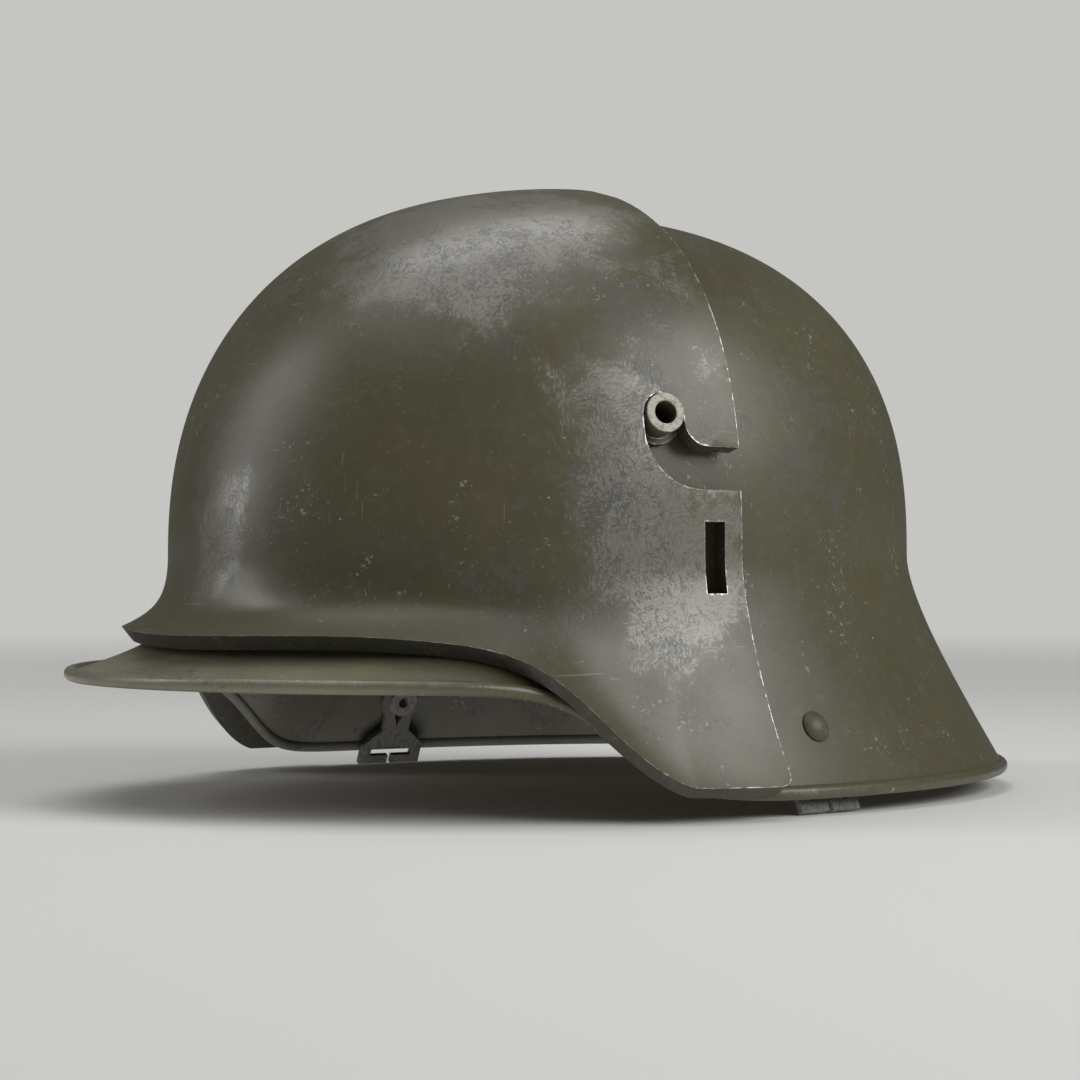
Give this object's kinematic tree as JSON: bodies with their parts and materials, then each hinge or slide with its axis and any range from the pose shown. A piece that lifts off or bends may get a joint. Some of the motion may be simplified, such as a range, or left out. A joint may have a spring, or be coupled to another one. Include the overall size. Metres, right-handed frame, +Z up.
{
  "type": "steel helmet",
  "caption": "Steel combat helmet with a visor and flared neck skirt, a hanging brow plate, vent lugs, swinging strap brackets and a padded leather liner.",
  "frame": {"origin": "centre of the head opening in the plane of the skirt's rim", "axes": "-Y is the front that the wearer faces, +X is the wearer's left, +Z is up towards the crown"},
  "size_m": [0.2554, 0.307, 0.1844],
  "materials": {
    "painted_shell": "worn satin olive grey",
    "painted_plate": "worn satin olive grey with bare edges",
    "painted_fittings": "worn satin olive grey",
    "lug_steel": "worn bare steel",
    "washer_steel": "dull bare steel",
    "bracket_steel": "dull grey steel",
    "band_leather": "matte",
    "pad_leather": "matte, worn",
    "cushion_cloth": "plain woven cloth",
    "lace_cord": "twisted cotton cord"
  },
  "bodies": {
    "helmet": {"helmet_shell": "painted_shell", "vent_lug_left": "lug_steel", "vent_lug_right": "lug_steel", "lug_washer_left": "washer_steel", "lug_washer_right": "washer_steel", "strap_post_left": "painted_fittings", "strap_post_right": "painted_fittings", "split_pin_left": "painted_fittings", "split_pin_right": "painted_fittings", "split_pin_rear": "painted_fittings", "pin_washers": "washer_steel", "liner_band": "band_leather", "liner_pad_left": "pad_leather", "liner_pad_right": "pad_leather", "liner_pad_rear": "pad_leather", "pad_cushion_left": "cushion_cloth", "pad_cushion_right": "cushion_cloth", "pad_cushion_rear": "cushion_cloth", "pad_rivets": "washer_steel", "crown_lace": "lace_cord"},
    "brow_plate": {"brow_plate": "painted_plate"},
    "bracket_left": {"strap_bracket_left": "bracket_steel"},
    "bracket_right": {"strap_bracket_right": "bracket_steel"}
  },
  "joints": [
    {"name": "brow_plate_lift", "type": "slide", "parent": "helmet", "child": "brow_plate", "axis": [0, 0, 1], "range_m": [0, 0.0073]},
    {"name": "bracket_left_swing", "type": "hinge", "parent": "helmet", "child": "bracket_left", "pos_m": [0.1065, 0.01629, 0.01559], "axis": [0.9025, 0.0691, 0.425], "range_deg": [-45, 45]},
    {"name": "bracket_right_swing", "type": "hinge", "parent": "helmet", "child": "bracket_right", "pos_m": [-0.1065, 0.01629, 0.01559], "axis": [-0.9025, 0.0691, 0.425], "range_deg": [-45, 45]}
  ]
}
